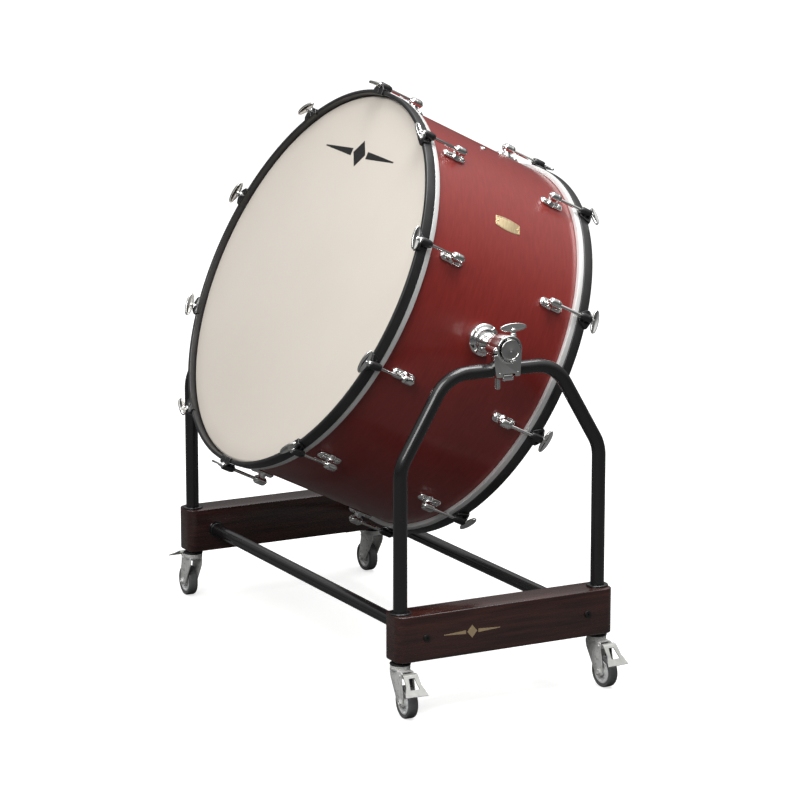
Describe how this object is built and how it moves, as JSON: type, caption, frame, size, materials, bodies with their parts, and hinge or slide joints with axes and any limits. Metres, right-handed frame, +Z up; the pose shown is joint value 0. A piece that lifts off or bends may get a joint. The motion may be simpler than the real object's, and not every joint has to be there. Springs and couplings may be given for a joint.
{
  "type": "concert bass drum",
  "caption": "Large two-headed concert bass drum with T-handled tension rods, hung by tilting clamps in a wheeled stand of bent steel tube and wooden beams.",
  "frame": {"origin": "on the floor under the middle of the stand", "axes": "+Z up, X along the tilt axis with the maker's plate on the +X side, front head facing -Y and leaning up"},
  "size_m": [1.3033, 0.911, 1.3515],
  "materials": {
    "shell_lacquer": "gloss burgundy lacquer",
    "ring_wood": "bare plywood",
    "head_film": "coated film",
    "flesh_aluminium": "satin",
    "hoop_black": "satin black lacquer",
    "claw_black": "satin black",
    "hardware_chrome": "polished chrome",
    "screw_steel": "zinc plated",
    "plate_brass": "pale satin brass",
    "beam_wood": "dark mahogany lacquer",
    "tube_black": "gloss black",
    "bolt_black": "black oxide",
    "caster_zinc": "bright zinc plate",
    "wheel_grey": "grey rubber on a light grey core",
    "pedal_zinc": "matt zinc plate"
  },
  "bodies": {
    "stand": {"base_beam_right": "beam_wood", "base_beam_left": "beam_wood", "side_frame_right": "tube_black", "side_frame_left": "tube_black", "leg_collars": "tube_black", "crossbars": "tube_black", "crossbar_bolts": "bolt_black", "caster_stems": "caster_zinc", "clamp_bodies": "hardware_chrome", "shaft_straps": "hardware_chrome", "clamp_jaws": "hardware_chrome", "clamp_bolts": "screw_steel"},
    "drum": {"shell": "shell_lacquer", "reinforcing_rings": "ring_wood", "flesh_hoops": "flesh_aluminium", "head_front": "head_film", "head_rear": "head_film", "counterhoop_front": "hoop_black", "counterhoop_rear": "hoop_black", "claws": "claw_black", "lugs": "hardware_chrome", "lug_screws": "screw_steel", "vent_grommet": "hardware_chrome", "maker_plate": "plate_brass", "pivot_bosses": "hardware_chrome", "pivot_shafts": "hardware_chrome"},
    "tilt_wing_right": {"tilt_wing_right": "hardware_chrome"},
    "tilt_wing_left": {"tilt_wing_left": "hardware_chrome"},
    "caster_fork_front_right": {"caster_fork_front_right": "caster_zinc"},
    "caster_wheel_front_right": {"caster_wheel_front_right": "wheel_grey"},
    "brake_pedal_front_right": {"brake_pedal_front_right": "pedal_zinc"},
    "caster_fork_rear_right": {"caster_fork_rear_right": "caster_zinc"},
    "caster_wheel_rear_right": {"caster_wheel_rear_right": "wheel_grey"},
    "brake_pedal_rear_right": {"brake_pedal_rear_right": "pedal_zinc"},
    "caster_fork_front_left": {"caster_fork_front_left": "caster_zinc"},
    "caster_wheel_front_left": {"caster_wheel_front_left": "wheel_grey"},
    "brake_pedal_front_left": {"brake_pedal_front_left": "pedal_zinc"},
    "caster_fork_rear_left": {"caster_fork_rear_left": "caster_zinc"},
    "caster_wheel_rear_left": {"caster_wheel_rear_left": "wheel_grey"},
    "brake_pedal_rear_left": {"brake_pedal_rear_left": "pedal_zinc"},
    "tension_rod_front_1": {"tension_rod_front_1": "hardware_chrome"},
    "tension_rod_front_2": {"tension_rod_front_2": "hardware_chrome"},
    "tension_rod_front_3": {"tension_rod_front_3": "hardware_chrome"},
    "tension_rod_front_4": {"tension_rod_front_4": "hardware_chrome"},
    "tension_rod_front_5": {"tension_rod_front_5": "hardware_chrome"},
    "tension_rod_front_6": {"tension_rod_front_6": "hardware_chrome"},
    "tension_rod_front_7": {"tension_rod_front_7": "hardware_chrome"},
    "tension_rod_front_8": {"tension_rod_front_8": "hardware_chrome"},
    "tension_rod_front_9": {"tension_rod_front_9": "hardware_chrome"},
    "tension_rod_front_10": {"tension_rod_front_10": "hardware_chrome"},
    "tension_rod_rear_1": {"tension_rod_rear_1": "hardware_chrome"},
    "tension_rod_rear_2": {"tension_rod_rear_2": "hardware_chrome"},
    "tension_rod_rear_3": {"tension_rod_rear_3": "hardware_chrome"},
    "tension_rod_rear_4": {"tension_rod_rear_4": "hardware_chrome"},
    "tension_rod_rear_5": {"tension_rod_rear_5": "hardware_chrome"},
    "tension_rod_rear_6": {"tension_rod_rear_6": "hardware_chrome"},
    "tension_rod_rear_7": {"tension_rod_rear_7": "hardware_chrome"},
    "tension_rod_rear_8": {"tension_rod_rear_8": "hardware_chrome"},
    "tension_rod_rear_9": {"tension_rod_rear_9": "hardware_chrome"},
    "tension_rod_rear_10": {"tension_rod_rear_10": "hardware_chrome"}
  },
  "joints": [
    {"name": "drum_tilt", "type": "hinge", "parent": "stand", "child": "drum", "pos_m": [0, 0.004, 0.813], "axis": [1, 0, 0], "range_deg": [-63.6, 116.4]},
    {"name": "tilt_wing_right_turn", "type": "hinge", "parent": "stand", "child": "tilt_wing_right", "pos_m": [0.57, 0.021, 0.86], "axis": [0, 0, 1], "range_deg": [0, 360]},
    {"name": "tilt_wing_left_turn", "type": "hinge", "parent": "stand", "child": "tilt_wing_left", "pos_m": [-0.57, 0.021, 0.86], "axis": [0, 0, 1], "range_deg": [0, 360]},
    {"name": "caster_swivel_front_right", "type": "hinge", "parent": "stand", "child": "caster_fork_front_right", "pos_m": [0.5555, -0.256, 0.115], "axis": [0, 0, 1], "continuous": true},
    {"name": "wheel_spin_front_right", "type": "hinge", "parent": "caster_fork_front_right", "child": "caster_wheel_front_right", "pos_m": [0.58948, -0.25719, 0.0375], "axis": [0.0349, 0.9994, 0], "continuous": true},
    {"name": "brake_pedal_front_right_press", "type": "hinge", "parent": "caster_fork_front_right", "child": "brake_pedal_front_right", "pos_m": [0.58648, -0.25708, 0.098], "axis": [0.0349, 0.9994, 0], "range_deg": [-25, 3]},
    {"name": "caster_swivel_rear_right", "type": "hinge", "parent": "stand", "child": "caster_fork_rear_right", "pos_m": [0.5555, 0.256, 0.115], "axis": [0, 0, 1], "continuous": true},
    {"name": "wheel_spin_rear_right", "type": "hinge", "parent": "caster_fork_rear_right", "child": "caster_wheel_rear_right", "pos_m": [0.5894, 0.25867, 0.0375], "axis": [-0.0785, 0.9969, 0], "continuous": true},
    {"name": "brake_pedal_rear_right_press", "type": "hinge", "parent": "caster_fork_rear_right", "child": "brake_pedal_rear_right", "pos_m": [0.5864, 0.25843, 0.098], "axis": [-0.0785, 0.9969, 0], "range_deg": [-25, 3]},
    {"name": "caster_swivel_front_left", "type": "hinge", "parent": "stand", "child": "caster_fork_front_left", "pos_m": [-0.5555, -0.256, 0.115], "axis": [0, 0, 1], "continuous": true},
    {"name": "wheel_spin_front_left", "type": "hinge", "parent": "caster_fork_front_left", "child": "caster_wheel_front_left", "pos_m": [-0.58948, -0.25481, 0.0375], "axis": [-0.0349, -0.9994, 0], "continuous": true},
    {"name": "brake_pedal_front_left_press", "type": "hinge", "parent": "caster_fork_front_left", "child": "brake_pedal_front_left", "pos_m": [-0.58648, -0.25492, 0.098], "axis": [-0.0349, -0.9994, 0], "range_deg": [0, 28]},
    {"name": "caster_swivel_rear_left", "type": "hinge", "parent": "stand", "child": "caster_fork_rear_left", "pos_m": [-0.5555, 0.256, 0.115], "axis": [0, 0, 1], "continuous": true},
    {"name": "wheel_spin_rear_left", "type": "hinge", "parent": "caster_fork_rear_left", "child": "caster_wheel_rear_left", "pos_m": [-0.58947, 0.25452, 0.0375], "axis": [0.0436, -0.999, 0], "continuous": true},
    {"name": "brake_pedal_rear_left_press", "type": "hinge", "parent": "caster_fork_rear_left", "child": "brake_pedal_rear_left", "pos_m": [-0.58647, 0.25465, 0.098], "axis": [0.0436, -0.999, 0], "range_deg": [0, 28]},
    {"name": "tension_rod_front_1_turn", "type": "hinge", "parent": "drum", "child": "tension_rod_front_1", "pos_m": [0.45275, -0.10825, 1.03174], "axis": [0, -0.8957, 0.4446], "continuous": true},
    {"name": "tension_rod_front_2_turn", "type": "hinge", "parent": "drum", "child": "tension_rod_front_2", "pos_m": [0.27257, -0.00347, 1.24283], "axis": [0, -0.8957, 0.4446], "continuous": true},
    {"name": "tension_rod_front_3_turn", "type": "hinge", "parent": "drum", "child": "tension_rod_front_3", "pos_m": [-0.01173, 0.03422, 1.31874], "axis": [0, -0.8957, 0.4446], "continuous": true},
    {"name": "tension_rod_front_4_turn", "type": "hinge", "parent": "drum", "child": "tension_rod_front_4", "pos_m": [-0.29154, -0.00959, 1.23048], "axis": [0, -0.8957, 0.4446], "continuous": true},
    {"name": "tension_rod_front_5_turn", "type": "hinge", "parent": "drum", "child": "tension_rod_front_5", "pos_m": [-0.45999, -0.11817, 1.01176], "axis": [0, -0.8957, 0.4446], "continuous": true},
    {"name": "tension_rod_front_6_turn", "type": "hinge", "parent": "drum", "child": "tension_rod_front_6", "pos_m": [-0.45275, -0.25003, 0.74612], "axis": [0, -0.8957, 0.4446], "continuous": true},
    {"name": "tension_rod_front_7_turn", "type": "hinge", "parent": "drum", "child": "tension_rod_front_7", "pos_m": [-0.27257, -0.35482, 0.53503], "axis": [0, -0.8957, 0.4446], "continuous": true},
    {"name": "tension_rod_front_8_turn", "type": "hinge", "parent": "drum", "child": "tension_rod_front_8", "pos_m": [0.01173, -0.3925, 0.45911], "axis": [0, -0.8957, 0.4446], "continuous": true},
    {"name": "tension_rod_front_9_turn", "type": "hinge", "parent": "drum", "child": "tension_rod_front_9", "pos_m": [0.29154, -0.34869, 0.54737], "axis": [0, -0.8957, 0.4446], "continuous": true},
    {"name": "tension_rod_front_10_turn", "type": "hinge", "parent": "drum", "child": "tension_rod_front_10", "pos_m": [0.45999, -0.24011, 0.7661], "axis": [0, -0.8957, 0.4446], "continuous": true},
    {"name": "tension_rod_rear_1_turn", "type": "hinge", "parent": "drum", "child": "tension_rod_rear_1", "pos_m": [0.45275, 0.25003, 0.85388], "axis": [0, 0.8957, -0.4446], "continuous": true},
    {"name": "tension_rod_rear_2_turn", "type": "hinge", "parent": "drum", "child": "tension_rod_rear_2", "pos_m": [0.27257, 0.35482, 1.06497], "axis": [0, 0.8957, -0.4446], "continuous": true},
    {"name": "tension_rod_rear_3_turn", "type": "hinge", "parent": "drum", "child": "tension_rod_rear_3", "pos_m": [-0.01173, 0.3925, 1.14089], "axis": [0, 0.8957, -0.4446], "continuous": true},
    {"name": "tension_rod_rear_4_turn", "type": "hinge", "parent": "drum", "child": "tension_rod_rear_4", "pos_m": [-0.29154, 0.34869, 1.05262], "axis": [0, 0.8957, -0.4446], "continuous": true},
    {"name": "tension_rod_rear_5_turn", "type": "hinge", "parent": "drum", "child": "tension_rod_rear_5", "pos_m": [-0.45999, 0.24011, 0.8339], "axis": [0, 0.8957, -0.4446], "continuous": true},
    {"name": "tension_rod_rear_6_turn", "type": "hinge", "parent": "drum", "child": "tension_rod_rear_6", "pos_m": [-0.45275, 0.10825, 0.56826], "axis": [0, 0.8957, -0.4446], "continuous": true},
    {"name": "tension_rod_rear_7_turn", "type": "hinge", "parent": "drum", "child": "tension_rod_rear_7", "pos_m": [-0.27257, 0.00347, 0.35717], "axis": [0, 0.8957, -0.4446], "continuous": true},
    {"name": "tension_rod_rear_8_turn", "type": "hinge", "parent": "drum", "child": "tension_rod_rear_8", "pos_m": [0.01173, -0.03422, 0.28126], "axis": [0, 0.8957, -0.4446], "continuous": true},
    {"name": "tension_rod_rear_9_turn", "type": "hinge", "parent": "drum", "child": "tension_rod_rear_9", "pos_m": [0.29154, 0.00959, 0.36952], "axis": [0, 0.8957, -0.4446], "continuous": true},
    {"name": "tension_rod_rear_10_turn", "type": "hinge", "parent": "drum", "child": "tension_rod_rear_10", "pos_m": [0.45999, 0.11817, 0.58824], "axis": [0, 0.8957, -0.4446], "continuous": true}
  ]
}
